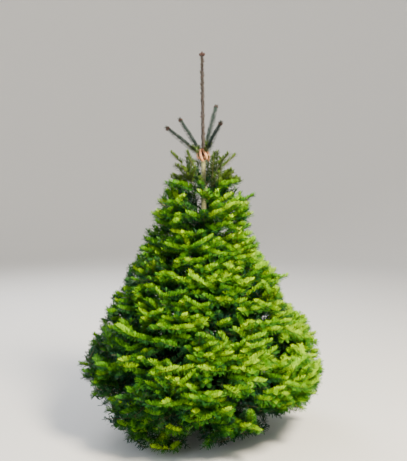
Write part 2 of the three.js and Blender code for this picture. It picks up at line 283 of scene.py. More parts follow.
def axis_distance(points):
    share = points[:, 2] / HEIGHT
    x = TRUNK_LEAN * share ** 2 + TRUNK_SWAY * np.sin(math.pi * share)
    y = TRUNK_SWAY * np.sin(2 * math.pi * share)
    return np.hypot(points[:, 0] - x, points[:, 1] - y)


def depth(points):
    """How deep points lie under the crown's outline."""
    return crown_radius(points[:, 2]) - axis_distance(points)


def trimmed(points, short):
    """How deep points have to lie, for a shoot that ends short of the outline by a share of CROWN_SPREAD."""
    z = points[:, 2]
    right = points[:, 0] / axis_distance(points)
    trim = CROWN_ROOM + short * CROWN_SPREAD + np.interp(z, *zip(*PEAK_TRIM))
    trim += np.interp(z, *zip(*SIDE_TRIM)) * np.clip(right, 0, 1)
    middle, slope = SKIRT_EDGE
    return trim + np.interp(z, *zip(*SKIRT_TRIM)) * np.clip(middle + slope * right, 0, 1)


def kept_free(points):
    """Which points lie in the space round the tape or in front of the trunk's bare stretches."""
    z = points[:, 2]
    low, high, radius = TAPE_SPACE
    free = (z > low) & (z < high) & (axis_distance(points) < radius)
    for low, high in WINDOWS:
        free |= (z > low) & (z < high) & (abs(points[:, 0]) < WINDOW_HALF) & (points[:, 1] < 0)
    return free


def cubes(points):
    return [tuple(cube) for cube in np.floor(points / CELL).astype(int)]


def grown(number, root, heading, wanted, turn, least, short=0, free=0):
    """The points of a shoot that grows from root, as far as its space, the crown and its neighbours let it.
    Its first stretch, free, may leave the space, as the foot of a stem does beside the trunk."""
    far = np.arange(STEP, wanted + STEP, STEP, dtype=float)
    line = root + heading * far[:, None] + UP * (turn * far ** 2 / wanted)[:, None]
    fits = (room(number, line) > ROOM) | (far < free)
    fits &= (depth(line) > trimmed(line, short)) & (line[:, 2] > GROUND_ROOM) & ~kept_free(line)
    fits &= ((line > lowest) & (line < highest)).all(1)
    count = len(fits) if fits.all() else int(np.argmin(fits))
    if count * STEP < least:
        return None
    own = cubes(line[FOOT_POINTS:count])
    if own and sum(cube in taken for cube in own) > CROWDED * len(own):
        return None
    taken.update(own)
    return np.vstack([root, line[:count]])


def small_boughs(number, roll):
    """The small boughs of one mass, from the trunk between its whorl and the next ones."""
    bough = boughs[number]
    whorl = bough["row"] - 1
    above, own = WHORLS[max(whorl - 1, 0)], WHORLS[max(whorl, 1)]
    foot_gap = above[0] - own[0]
    tip_gap = foot_gap + above[4] - own[4]
    tip = bough_point(bough, 1)
    shoots = []
    for climb, aside, share in SMALL_BOUGHS:
        if whorl == 0 and climb > 0:
            continue
        climb += swing(roll, SMALL_CLIMB_SPREAD)
        bearing = bough["bearing"] + aside * math.pi / WHORLS[whorl][1]
        foot = trunk_axis(max(bough["root"][2] + climb * foot_gap, SMALL_LOWEST_FOOT))
        height = max(tip[2] + climb * tip_gap, SMALL_LOWEST_TIP)
        end = trunk_axis(height) + sideways(bearing) * crown_radius(height) * share
        far = np.linalg.norm(end - foot)
        line = grown(number, foot, (end - foot) / far, far, SMALL_TURN, SMALL_LEAST, roll(), SMALL_FREE)
        if line is not None:
            shoots.append({"line": line, "order": SMALL_ORDER, "row": bough["row"]})
    return shoots


def side_shoots(number, parent, order, roll):
    """Pairs of shoots along a parent, from its tip to its root, and on a stem single ones too."""
    rule = ORDERS[order]
    line = parent["line"][::SMALL_THINNING] if parent["order"] == SMALL_ORDER else parent["line"]
    measure = along(line)
    length = measure[-1]

    def point(place):
        return np.array([np.interp(place, measure, line[:, axis]) for axis in range(3)])

    made = []

    def sprout(base, aim, wanted):
        shoot = grown(number, base, aim, wanted, rule["turn"], rule["least"], roll())
        if shoot is not None:
            made.append({"line": shoot, "order": order + 1, "row": parent["row"]})

    place = length - LAST_ROOM
    pair = 0
    while place > max(rule["from"] * length, FIRST_ROOM):
        base = point(place)
        if order > 0 and depth(base[None])[0] > CORE:
            break
        heading = unit(point(place + TANGENT) - point(place - TANGENT))
        across = unit(np.cross(heading, UP))
        above = np.cross(across, heading)
        for hand in (-1, 1):
            angle = math.radians(rule["angle"] + swing(roll, ANGLE_SPREAD)) * hand
            tilt = TILT * (hand if pair % 2 else -hand) + swing(roll, TILT_SPREAD)
            aim = unit(turned(heading, above, angle) + UP * tilt)
            wanted = (length - place) * rule["share"] * (1 + swing(roll, LENGTH_SPREAD))
            sprout(base, aim, min(max(wanted, rule["least"] * LEAST_WANTED), rule["most"]))
        if order == 0:
            for rise in (RISE_ANGLE, -RISE_ANGLE):
                aim = turned(heading, across, math.radians(rise))
                sprout(base, turned(aim, UP, swing(roll, RISE_SPREAD)), SINGLE_LENGTH)
        place -= rule["pitch"] * (1 + swing(roll, PITCH_SPREAD))
        pair += 1
    return made


def shoots_of(number):
    """The shoots of one mass: its stem, its small boughs, and the orders of side shoots on them."""
    bough = boughs[number]
    roll = dice(SEED + MASS_SEEDS * number)
    total = np.linalg.norm(bough_point(bough, 1) - bough["root"])
    shares = np.linspace(0, 1, max(STEM_POINTS, round(total / STEM_PACE)))
    stem = np.array([bough_point(bough, share) for share in shares])
    shoots = [{"line": stem, "order": 0, "row": bough["row"]}]
    taken.update(cubes(stem[FOOT_POINTS:]))
    if bough["row"] == 0:
        return shoots
    shoots += small_boughs(number, roll)
    parents = shoots
    for order in range(THIN_ORDERS if bough["row"] == 1 else len(ORDERS)):
        parents = [shoot for parent in parents for shoot in side_shoots(number, parent, order, roll)]
        shoots = shoots + parents
    return shoots


all_shoots = [shoot for number in range(len(boughs)) for shoot in shoots_of(number)]


# Materials and meshes
def linear(colour):
    """An sRGB hex colour as linear values, with full opacity."""
    parts = [int(colour[i:i + 2], 16) / 255 for i in (1, 3, 5)]
    return (*[c / 12.92 if c <= 0.04045 else ((c + 0.055) / 1.055) ** 2.4 for c in parts], 1)


def add(tree, kind, inputs=None, **settings):
    """Adds a node. settings are its own properties, and inputs gives a socket a value, the socket that feeds
    it, or the node whose first output does."""
    node = tree.nodes.new(kind)
    for name, value in settings.items():
        setattr(node, name, value)
    for name, value in (inputs or {}).items():
        if isinstance(value, bpy.types.Node):
            value = value.outputs[0]
        if isinstance(value, bpy.types.NodeSocket):
            tree.links.new(value, node.inputs[name])
        else:
            node.inputs[name].default_value = value
    return node


def material(name, **sockets):
    """A material whose shader has these values on its own sockets."""
    made = bpy.data.materials.new(name)
    made.use_nodes = True
    shader = made.node_tree.nodes["Principled BSDF"]
    for socket, value in sockets.items():
        shader.inputs[socket.replace("_", " ")].default_value = value
    return made


PATCH_EDGES = (0.38, 0.64)        # where in the noise one colour ends and the other is full


def mottled(finish, first, second, patch, crease):
    """Gives a finish patches of two colours, each about as wide as patch, and creases as deep as crease,
    both in millimetres."""
    tree = finish.node_tree
    shader = tree.nodes["Principled BSDF"]
    place = add(tree, "ShaderNodeTexCoord").outputs["Object"]
    cloud = add(tree, "ShaderNodeTexNoise", {"Vector": place, "Scale": 1 / (patch * MM), "Detail": 4.0})
    ramp = add(tree, "ShaderNodeValToRGB", {"Fac": cloud})
    for element, position, colour in zip(ramp.color_ramp.elements, PATCH_EDGES, (first, second)):
        element.position = position
        element.color = linear(colour)
    tree.links.new(ramp.outputs["Color"], shader.inputs["Base Color"])
    bump = add(tree, "ShaderNodeBump", {"Height": cloud, "Strength": 0.6, "Distance": crease * MM})
    tree.links.new(bump.outputs[0], shader.inputs["Normal"])
    return finish


def shown(name, data):
    """An object of the scene that shows a mesh, a light or a camera."""
    made = bpy.data.objects.new(name, data)
    bpy.context.scene.collection.objects.link(made)
    return made


def mesh_of(name, points, faces=(), edges=(), scale=MM, **numbers):
    """A mesh from points in millimetres, or in another scale, with a number or a vector for each point under
    each name given."""
    mesh = bpy.data.meshes.new(name)
    mesh.from_pydata((np.asarray(points) * scale).tolist(), edges, faces)
    for key, values in numbers.items():
        values = np.asarray(values, np.float32)
        kind = "FLOAT_VECTOR" if values.ndim == 2 else "FLOAT"
        attribute = mesh.attributes.new(key, kind, "POINT")
        attribute.data.foreach_set("vector" if values.ndim == 2 else "value", values.ravel())
    return mesh


def smooth(mesh):
    mesh.polygons.foreach_set("use_smooth", [True] * len(mesh.polygons))
    return mesh


def smooth_piece(name, points, faces, finish, slot):
    mesh = smooth(mesh_of(name, points, faces))
    mesh.materials.append(finish)
    piece = shown(name, mesh)
    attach(piece, BODY)
    return piece


def joined(parts):
    """The points and faces of several parts as one list of each."""
    points, faces = [], []
    for own_points, own_faces in parts:
        faces += [tuple(corner + len(points) for corner in face) for face in own_faces]
        points += own_points
    return points, faces


def chains(lines):
    """Points and edges of lines, as chains."""
    points, edges = [], []
    for line in lines:
        first = len(points)
        points.extend(line)
        edges.extend((first + i, first + i + 1) for i in range(len(line) - 1))
    return points, edges


# Geometry Nodes. A finished mesh keeps only its own attributes, and not the numbers that its tree read
KEPT_ATTRIBUTES = {
    "position", ".edge_verts", ".corner_vert", ".corner_edge", "sharp_face", "material_index"}


def new_tree(name, sockets):
    """A geometry tree with named inputs: name, kind and value of each."""
    tree = bpy.data.node_groups.new(name, "GeometryNodeTree")
    tree.interface.new_socket("Geometry", in_out="INPUT", socket_type="NodeSocketGeometry")
    tree.interface.new_socket("Geometry", in_out="OUTPUT", socket_type="NodeSocketGeometry")
    for socket, kind, value in sockets:
        made = tree.interface.new_socket(socket, in_out="INPUT", socket_type=kind)
        if value is not None:
            made.default_value = value
    start = tree.nodes.new("NodeGroupInput")
    return tree, start.outputs


def end_tree(tree, geometry, finish):
    whole = add(tree, "GeometryNodeRealizeInstances", {"Geometry": geometry})
    dressed = add(tree, "GeometryNodeSetMaterial", {"Geometry": whole, "Material": finish})
    end = tree.nodes.new("NodeGroupOutput")
    tree.links.new(dressed.outputs[0], end.inputs[0])
    return tree


def run_tree(name, tree, mesh, slot, **values):
    """A plain mesh piece that the tree makes from a mesh. The values are its named inputs."""
    source = shown(name + "_source", mesh)
    modifier = source.modifiers.new("rule", "NODES")
    modifier.node_group = tree
    for item in tree.interface.items_tree:
        if item.in_out == "INPUT" and item.name in values:
            modifier[item.identifier] = values[item.name]
    bpy.context.view_layer.update()
    graph = bpy.context.evaluated_depsgraph_get()
    made = bpy.data.meshes.new_from_object(source.evaluated_get(graph), depsgraph=graph)
    source.modifiers.remove(modifier)
    bpy.data.objects.remove(source)
    for attribute in [a.name for a in made.attributes if a.name not in KEPT_ATTRIBUTES]:
        made.attributes.remove(made.attributes[attribute])
    made.name = name
    piece = shown(name, made)
    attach(piece, BODY)
    return piece


def limb_tree():
    """Turns chains of edges into round tapering limbs."""
    tree, given = new_tree("limbs", [
        ("Sides", "NodeSocketInt", 3),
        ("Finish", "NodeSocketMaterial", None),
    ])
    chain = add(tree, "GeometryNodeMeshToCurve", {"Mesh": given["Geometry"]})
    thickness = add(tree, "GeometryNodeInputNamedAttribute", {"Name": "thickness"}, data_type="FLOAT")
    ring = add(tree, "GeometryNodeCurvePrimitiveCircle", {"Resolution": given["Sides"], "Radius": 1.0})
    limb = add(tree, "GeometryNodeCurveToMesh", {
        "Curve": chain, "Profile Curve": ring, "Scale": thickness, "Fill Caps": True})
    smoothed = add(tree, "GeometryNodeSetShadeSmooth", {"Geometry": limb})
    return end_tree(tree, smoothed, given["Finish"])


# How single needles differ from their shoot's, in the order drawn: the least and the most of each. Lean,
# length and width are shares of the shoot's, and face_x and face_y tip a needle's face from straight up
NEEDLE_DRAWS = {
    "lean": (0.88, 1.12), "face_x": (-0.6, 0.6), "face_y": (-0.6, 0.6), "length": (0.88, 1.06),
    "width": (0.85, 1.15), "side": (-1.0, 1.0)}
SHORTER_ON_TOP = 0.12


def swung(tree, first, second, angle):
    """The direction first, swung towards second by an angle."""
    shares = []
    for direction, operation in ((first, "COSINE"), (second, "SINE")):
        share = add(tree, "ShaderNodeMath", {0: angle}, operation=operation)
        shares.append(add(tree, "ShaderNodeVectorMath", {0: direction, "Scale": share}, operation="SCALE"))
    return add(tree, "ShaderNodeVectorMath", {0: shares[0], 1: shares[1]}, operation="ADD")


def needle_tree():
    """Sets needles along chains of edges, leaning to the shoot's tip. Each is turned to one side or the
    other from straight up, by an angle between Nearest and Farthest."""
    tree, given = new_tree("needles", [
        ("Needle", "NodeSocketObject", None),
        ("Spacing", "NodeSocketFloat", 0.0015),
        ("Length", "NodeSocketFloat", 0.028),
        ("Width", "NodeSocketFloat", 0.0035),
        ("Lean", "NodeSocketFloat", 0.9),
        ("Nearest", "NodeSocketFloat", 0.0),
        ("Farthest", "NodeSocketFloat", 1.9),
        ("Seed", "NodeSocketInt", 0),
        ("Finish", "NodeSocketMaterial", None),
    ])
    draw = {}
    ranges = {"turn": (given["Nearest"], given["Farthest"]), **NEEDLE_DRAWS}
    for shift, (name, (low, high)) in enumerate(ranges.items(), 1):
        seed = add(tree, "ShaderNodeMath", {0: given["Seed"], 1: shift}, operation="ADD")
        chance = add(tree, "FunctionNodeRandomValue", {2: low, 3: high, "Seed": seed}, data_type="FLOAT")
        draw[name] = chance.outputs[1]
    vigour = add(tree, "GeometryNodeInputNamedAttribute", {"Name": "vigour"}, data_type="FLOAT")
    closing = add(tree, "GeometryNodeInputNamedAttribute", {"Name": "closing"}, data_type="FLOAT")

    # Where the needles sit, and the directions there
    chain = add(tree, "GeometryNodeMeshToCurve", {"Mesh": given["Geometry"]})
    seats = add(tree, "GeometryNodeCurveToPoints", {"Curve": chain, "Length": given["Spacing"]},
                mode="LENGTH")
    ahead = seats.outputs["Tangent"]
    level = add(tree, "ShaderNodeVectorMath", {0: ahead, 1: (0.0, 0.0, 1.0)}, operation="CROSS_PRODUCT")
    across = add(tree, "ShaderNodeVectorMath", {0: level}, operation="NORMALIZE")
    above = add(tree, "ShaderNodeVectorMath", {0: across, 1: ahead}, operation="CROSS_PRODUCT")

    # Where each points and faces
    side = add(tree, "ShaderNodeMath", {0: draw["side"]}, operation="SIGN")
    roll = add(tree, "ShaderNodeMath", {0: draw["turn"], 1: side}, operation="MULTIPLY")
    lean = add(tree, "ShaderNodeMath", {0: given["Lean"], 1: draw["lean"]}, operation="MULTIPLY")
    closed = add(tree, "ShaderNodeMath", {0: lean, 1: closing}, operation="MULTIPLY")
    aim = swung(tree, ahead, swung(tree, above, across, roll), closed)
    pointed = add(tree, "FunctionNodeAlignRotationToVector", {"Vector": aim}, axis="Y")
    face = add(tree, "ShaderNodeCombineXYZ", {0: draw["face_x"], 1: draw["face_y"], 2: 1.0})
    faced = add(tree, "FunctionNodeAlignRotationToVector", {"Rotation": pointed, "Vector": face},
                axis="Z", pivot_axis="Y")

    # How large each is
    upright = add(tree, "ShaderNodeMath", {0: roll}, operation="COSINE")
    on_top = add(tree, "ShaderNodeMath", {0: upright, 1: 0.0}, operation="MAXIMUM")
    lost = add(tree, "ShaderNodeMath", {0: on_top, 1: SHORTER_ON_TOP}, operation="MULTIPLY")
    left = add(tree, "ShaderNodeMath", {0: 1.0, 1: lost}, operation="SUBTRACT")
    share = add(tree, "ShaderNodeMath", {0: left, 1: draw["length"]}, operation="MULTIPLY")
    full = add(tree, "ShaderNodeMath", {0: given["Length"], 1: vigour}, operation="MULTIPLY")
    length = add(tree, "ShaderNodeMath", {0: full, 1: share}, operation="MULTIPLY")
    width = add(tree, "ShaderNodeMath", {0: given["Width"], 1: draw["width"]}, operation="MULTIPLY")
    size = add(tree, "ShaderNodeCombineXYZ", {0: width, 1: length, 2: width})
    shape = add(tree, "GeometryNodeObjectInfo", {"Object": given["Needle"]})
    placed = add(tree, "GeometryNodeInstanceOnPoints", {
        "Points": seats, "Instance": shape.outputs["Geometry"], "Rotation": faced, "Scale": size})
    return end_tree(tree, placed, given["Finish"])


def bud_tree():
    """Sets a bud on each point, along its aim."""
    tree, given = new_tree("buds", [
        ("Bud", "NodeSocketObject", None),
        ("Slimness", "NodeSocketFloat", 0.55),
        ("Finish", "NodeSocketMaterial", None),
    ])
    seats = add(tree, "GeometryNodeMeshToPoints", {"Mesh": given["Geometry"]})
    aim = add(tree, "GeometryNodeInputNamedAttribute", {"Name": "aim"}, data_type="FLOAT_VECTOR")
    size = add(tree, "GeometryNodeInputNamedAttribute", {"Name": "size"}, data_type="FLOAT")
    slim = add(tree, "ShaderNodeMath", {0: size, 1: given["Slimness"]}, operation="MULTIPLY")
    pointed = add(tree, "FunctionNodeAlignRotationToVector", {"Vector": aim}, axis="Y")
    scale = add(tree, "ShaderNodeCombineXYZ", {0: slim, 1: size, 2: slim})
    shape = add(tree, "GeometryNodeObjectInfo", {"Object": given["Bud"]})
    placed = add(tree, "GeometryNodeInstanceOnPoints", {
        "Points": seats, "Instance": shape.outputs["Geometry"], "Rotation": pointed, "Scale": scale})
    return end_tree(tree, placed, given["Finish"])


# Bark
def lumps(seed, count, length, low, high):
    """Places along a limb and round it, with a size each, for its knots, blisters and scars."""
    draw = np.random.default_rng(seed)
    return np.column_stack([
        draw.uniform(0, length, count),
        draw.uniform(-math.pi, math.pi, count),
        draw.uniform(low, high, count)])


def raised(place, turns, radius, spots, height):
    """How far the bark stands out round a limb at one place: a round swelling at each spot, as wide as its
    size and as high as height times its size."""
    out = np.zeros_like(turns)
    for spot, bearing, size in spots:
        aside = (np.mod(turns - bearing + math.pi, 2 * math.pi) - math.pi) * radius
        out += height * size * np.exp(-((place - spot) ** 2 + aside ** 2) / size ** 2)
    return out


def tube(stations, sides, shape):
    """Points and faces of a closed limb. shape(ring, turns) gives the radii of a ring, and stations give
    each ring's middle and its two directions across."""
    turns = np.linspace(0, 2 * math.pi, sides, endpoint=False)
    points = []
    for ring, (middle, right, above) in enumerate(stations):
        for turn, size in zip(turns, shape(ring, turns)):
            points.append(middle + right * math.cos(turn) * size + above * math.sin(turn) * size)
    faces = []
    for ring in range(len(stations) - 1):
        for side in range(sides):
            low, beside = ring * sides + side, ring * sides + (side + 1) % sides
            faces.append((low, beside, beside + sides, low + sides))
    faces.append(tuple(range(sides - 1, -1, -1)))
    faces.append(tuple(range(len(points) - sides, len(points))))
    return points, faces


TRUNK_SIDES = 44
TRUNK_PACE = 7
LEADER_END = HEIGHT - 26
COLLAR = 2.6              # how far the trunk swells at each whorl, and over what height
COLLAR_HEIGHT = 14
WAVES = 6                 # waves round the trunk: how many, how deep as a share of its radius, and how slow
WAVE_DEPTH = 0.012
WAVE_PITCH = 31
WAVE_PITCH_STEP = 17
WAVE_SEED = 5
# Knots under the boughs, blisters of resin and the scars of fallen needles: their sizes, their heights as
# shares of their sizes, and how near one has to be to count
KNOT_RISE = 5
KNOT_SIZE = 9
KNOT_SHARE = 0.012
KNOT_HEIGHT = 0.3
KNOT_NEAR = 40
BLISTERS = {"seed": 3, "count": 420, "length": 1500, "low": 2.5, "high": 6}
BLISTER_HEIGHT = 0.22
BLISTER_NEAR = 15
SCARS = {"seed": 4, "count": 260, "length": LEADER_END - LEADER_FOOT, "low": 1.6, "high": 3.2}
SCAR_HEIGHT = 0.45
SCAR_NEAR = 10


def trunk_shape():
    """The trunk and its leader: ribs at the foot, a collar and knots at each whorl, blisters and scars."""
    heights = np.arange(0, LEADER_END + 1, TRUNK_PACE, dtype=float)
    stations = [(trunk_axis(z), np.array([1.0, 0, 0]), np.array([0, 1.0, 0])) for z in heights]
    knots = np.array([(b["root"][2] + KNOT_RISE, b["bearing"], KNOT_SIZE + KNOT_SHARE * b["reach"])
                      for b in boughs])
    spots = [
        (knots, KNOT_HEIGHT, KNOT_NEAR),
        (lumps(**BLISTERS), BLISTER_HEIGHT, BLISTER_NEAR),
        (lumps(**SCARS) + np.array([LEADER_FOOT, 0, 0]), SCAR_HEIGHT, SCAR_NEAR),
    ]
    whorl_heights = {b["root"][2] for b in boughs}
    waves = np.random.default_rng(WAVE_SEED).uniform(0, 2 * math.pi, (WAVES, 2))

    def shape(ring, turns):
        z = heights[ring]
        radius = trunk_radius(z)
        size = radius * (1 + RIB_DEPTH * np.cos(FLARE_RIBS * turns) * math.exp(-z / FLARE_FADE))
        for wave, (first, second) in enumerate(waves):
            climb = z / (WAVE_PITCH + WAVE_PITCH_STEP * wave)
            size += WAVE_DEPTH * radius * np.sin((wave + 1) * turns + first + climb + second)
        size += sum(COLLAR * math.exp(-((z - height) / COLLAR_HEIGHT) ** 2) for height in whorl_heights)
        for places, height, near in spots:
            size += raised(z, turns, radius, places[np.abs(places[:, 0] - z) < near], height)
        return size

    return tube(stations, TRUNK_SIDES, shape)


BOUGH_SIDES = 9
BOUGH_PACE = 12
BOUGH_RINGS = 6
BOUGH_THICKNESS = 0.0125  # radius at the root for each millimetre of reach
BOUGH_TAPER = 0.78
BOUGH_TIP = 1.6
BOUGH_COLLAR = 0.5        # how far it swells where it leaves the trunk, as a share, and over what length
BOUGH_COLLAR_LENGTH = 18
BOUGH_SEEDS = 100
BOUGH_KNOT_PACE = 14
BOUGH_KNOT_SIZES = (3, 6)
BOUGH_KNOT_HEIGHT = 0.035


def bough_shape(number):
    """A bough from the trunk to its tip, with its knots."""
    bough = boughs[number]
    total = np.linalg.norm(bough_point(bough, 1) - bough["root"])
    shares = np.linspace(0, 1, max(BOUGH_RINGS, round(total / BOUGH_PACE)))
    stations = []
    for share in shares:
        heading = bough_heading(bough, share)
        right = unit(np.cross(heading, UP))
        stations.append((bough_point(bough, share), right, np.cross(right, heading)))
    spots = lumps(BOUGH_SEEDS + number, round(total / BOUGH_KNOT_PACE), total, *BOUGH_KNOT_SIZES)

    def shape(ring, turns):
        place = shares[ring] * total
        radius = max(BOUGH_THICKNESS * bough["reach"] * (1 - BOUGH_TAPER * shares[ring]), BOUGH_TIP)
        swelling = 1 + BOUGH_COLLAR * math.exp(-place / BOUGH_COLLAR_LENGTH)
        return radius * swelling + raised(place, turns, radius, spots, BOUGH_KNOT_HEIGHT * radius)

    points, faces = tube(stations, BOUGH_SIDES, shape)
    return points, [face[::-1] for face in faces]


# Colours of the bark by height, from 0 at the ground to 1 at the leader's tip
TRUNK_COLOURS = [(0.0, "#5C5442"), (0.3, "#77705A"), (0.58, "#B0B280"), (0.72, "#CBC990"),
                 (0.745, "#544C46"), (0.87, "#464040"), (1.0, "#2C2424")]
BOUGH_COLOURS = [(0.0, "#5A4C38"), (0.3, "#6E6048"), (0.6, "#8A7E58"), (0.72, "#9A9264"),
                 (0.76, "#4C4C42"), (1.0, "#3A3A36")]
BARK_PATCHES = 60.0       # patches in a metre, each about 17 mm wide and 6 mm high
BARK_GRAIN = 260.0        # and grains, each about 4 mm wide, coarser than life so that they show
BARK_FLATNESS = 2.6
BARK_RELIEF = 2


def bark_material(name, colours):
    """Bark whose colour goes with its height on the tree, with mottled patches and a fine grain."""
    made = material(name, Roughness=0.82)
    tree = made.node_tree
    shader = tree.nodes["Principled BSDF"]
    place = add(tree, "ShaderNodeTexCoord").outputs["Object"]
    height = add(tree, "ShaderNodeSeparateXYZ", {"Vector": place}).outputs["Z"]
    share = add(tree, "ShaderNodeMath", {0: height, 1: HEIGHT * MM}, operation="DIVIDE")
    ramp = add(tree, "ShaderNodeValToRGB", {"Fac": share})
    elements = ramp.color_ramp.elements
    for number, (position, colour) in enumerate(colours):
        element = elements[number] if number < 2 else elements.new(position)
        element.position = position
        element.color = linear(colour)
    flat = add(tree, "ShaderNodeMapping", {"Vector": place, "Scale": (1.0, 1.0, BARK_FLATNESS)})
    patches = add(tree, "ShaderNodeTexNoise", {"Vector": flat, "Scale": BARK_PATCHES, "Detail": 6.0})
    shade = add(tree, "ShaderNodeMapRange", {
        "Value": patches, "From Min": 0.35, "From Max": 0.65, "To Min": 0.62, "To Max": 1.18})
    tint = add(tree, "ShaderNodeVectorMath", {0: ramp, "Scale": shade}, operation="SCALE")
    tree.links.new(tint.outputs[0], shader.inputs["Base Color"])
    grain = add(tree, "ShaderNodeTexNoise", {"Vector": flat, "Scale": BARK_GRAIN, "Detail": 4.0})
    bump = add(tree, "ShaderNodeBump", {"Height": grain, "Strength": 0.5, "Distance": BARK_RELIEF * MM})
    tree.links.new(bump.outputs[0], shader.inputs["Normal"])
    return made


# Trunk bark: smooth and matt, brown at the foot, pale yellow-green above, grey-brown and dark on the leader
trunk_bark = bark_material("young_fir_trunk_bark", TRUNK_COLOURS)
# Bough bark: matt olive brown, grey on the top shoots
bough_bark = bark_material("young_fir_bough_bark", BOUGH_COLOURS)
trunk = smooth_piece("trunk_bark", *trunk_shape(), trunk_bark, "bark")
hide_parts("trunk")
bough_shapes = joined(bough_shape(number) for number in range(len(boughs)))
limbs = smooth_piece("bough_bark", *bough_shapes, bough_bark, "bark")
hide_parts(*bough_nodes)

# Buds
BUD_SHOULDER = 0.8
BUD_SLIMNESS = 0.6
BUD_SINK = 3              # how far the side buds of a cluster sit behind its end bud
END_BUD = 1.25            # the end bud's size as a share of the others'
LEADER_BUDS = 36
LEADER_BUD_FOOT = 60      # from the leader's foot to its first bud
LEADER_BUD_TOP = 16       # and from its last bud to its end
LEADER_BUD_TURN = 2.4     # from one bud to the next, in radians
LEADER_BUD_TURN_SPREAD = 0.4
LEADER_BUD_SPREAD = 0.3   # up or down, as a share of the distance between two
LEADER_BUD_SINK = 1.5
LEADER_BUD_RISE = 0.7
LEADER_BUD_SIZES = (8, 15)
LEADER_CLUSTER = {"size": 20, "count": 6, "spread": 6, "lean": 0.75}
SHOOT_CLUSTER = {"size": 15, "count": 5, "spread": 5, "lean": 0.9}
LEADER_CLUSTER_SINK = 4
SHOOT_CLUSTER_SINK = 10
TIP_BUD = 9
TIP_BUD_SINK = 2
TIP_BUD_DEPTH = 70        # no buds on shoots that end deeper under the crown's outline
BUD_SEED = 11
ASLANT = [0.3, 0.9, 0.2]  # no shoot grows this way, so it gives each a direction across


def bud_shape(name, sides, rings, scales):
    """A pointed bud, 1 long and 1 wide, standing on its root, with scales that stand out by a share of its
    size."""
    points, faces = [(0, 0, 0)], []
    for ring in range(1, rings):
        share = ring / rings
        size = 0.5 * math.sin(math.pi * share ** BUD_SHOULDER) ** BUD_SHOULDER
        for side in range(sides):
            turn = 2 * math.pi * side / sides
            out = size * (1 + scales * ((ring + side) % 2))
            points.append((out * math.cos(turn), share, out * math.sin(turn)))
    points.append((0, 1, 0))
    last = len(points) - 1
    for side in range(sides):
        beside = (side + 1) % sides
        faces.append((0, 1 + beside, 1 + side)[::-1])
        for ring in range(rings - 2):
            low = 1 + ring * sides
            faces.append((low + side, low + beside, low + sides + beside, low + sides + side)[::-1])
        low = 1 + (rings - 2) * sides
        faces.append((low + side, low + beside, last)[::-1])
    return shown(name, smooth(mesh_of(name, points, faces, scale=1)))


def cluster(place, heading, size, count, spread, lean):
    """The buds on a shoot's end, with place, aim and size each: one that goes on, and others round it."""
    across = unit(np.cross(heading, ASLANT))
    rows = [(place, heading, size * END_BUD)]
    for number in range(count):
        side = turned(across, heading, 2 * math.pi * number / count)
        rows.append((place + side * spread - heading * BUD_SINK, unit(heading + side * lean), size))
    return rows


def top_buds():
    """The clusters on the leader's tip and on the top shoots' tips, and the single buds along the leader."""
    rows = cluster(trunk_axis(LEADER_END) - UP * LEADER_CLUSTER_SINK, UP, **LEADER_CLUSTER)
    draw = np.random.default_rng(BUD_SEED)
    stretch = LEADER_END - LEADER_FOOT - LEADER_BUD_FOOT - LEADER_BUD_TOP
    for number in range(LEADER_BUDS):
        climb = number + draw.uniform(-LEADER_BUD_SPREAD, LEADER_BUD_SPREAD)
        z = LEADER_FOOT + LEADER_BUD_FOOT + stretch * climb / LEADER_BUDS
        turn = LEADER_BUD_TURN * number + draw.uniform(-LEADER_BUD_TURN_SPREAD, LEADER_BUD_TURN_SPREAD)
        side = sideways(turn)
        place = trunk_axis(z) + side * (trunk_radius(z) - LEADER_BUD_SINK)
        rows.append((place, unit(side + UP * LEADER_BUD_RISE), draw.uniform(*LEADER_BUD_SIZES)))
    for shoot in all_shoots:
        if shoot["row"] == 0:
            end, before = shoot["line"][-1], shoot["line"][-2]
            heading = unit(end - before)
            rows += cluster(end - heading * SHOOT_CLUSTER_SINK, heading, **SHOOT_CLUSTER)
    return rows


def tip_buds():
    """One small bud on each shoot that ends near the crown's outline."""
    rows = []
    for shoot in all_shoots:
        line = shoot["line"]
        if depth(line[-1:])[0] < TIP_BUD_DEPTH and shoot["row"] > 0:
            heading = unit(line[-1] - line[-2])
            rows.append((line[-1] - heading * TIP_BUD_SINK, heading, TIP_BUD))
    return rows


def bud_piece(name, rows, sides, rings, scales, finish):
    shape = bud_shape(name + "_shape", sides, rings, scales)
    places, aims, sizes = zip(*rows)
    mesh = mesh_of(name, places, aim=aims, size=np.array(sizes) * MM)
    run_tree(name, bud_rule, mesh, "buds", Bud=shape, Slimness=BUD_SLIMNESS, Finish=finish)
    bpy.data.objects.remove(shape)


bud_rule = bud_tree()
# The large buds at the top: dark maroon scales with brown edges and a dull gleam of resin
large_bud = mottled(
    material("resinous_fir_bud", Roughness=0.42), "#240F0A", "#4C281A", patch=5, crease=1)
# The small buds at the shoots' tips: the same brown, too small for scales to show
small_bud = material("small_fir_bud", Base_Color=linear("#3A1C12"), Roughness=0.5)
bud_piece("leader_buds", top_buds(), sides=12, rings=9, scales=0.16, finish=large_bud)
bud_piece("tip_buds", tip_buds(), sides=5, rings=3, scales=0, finish=small_bud)

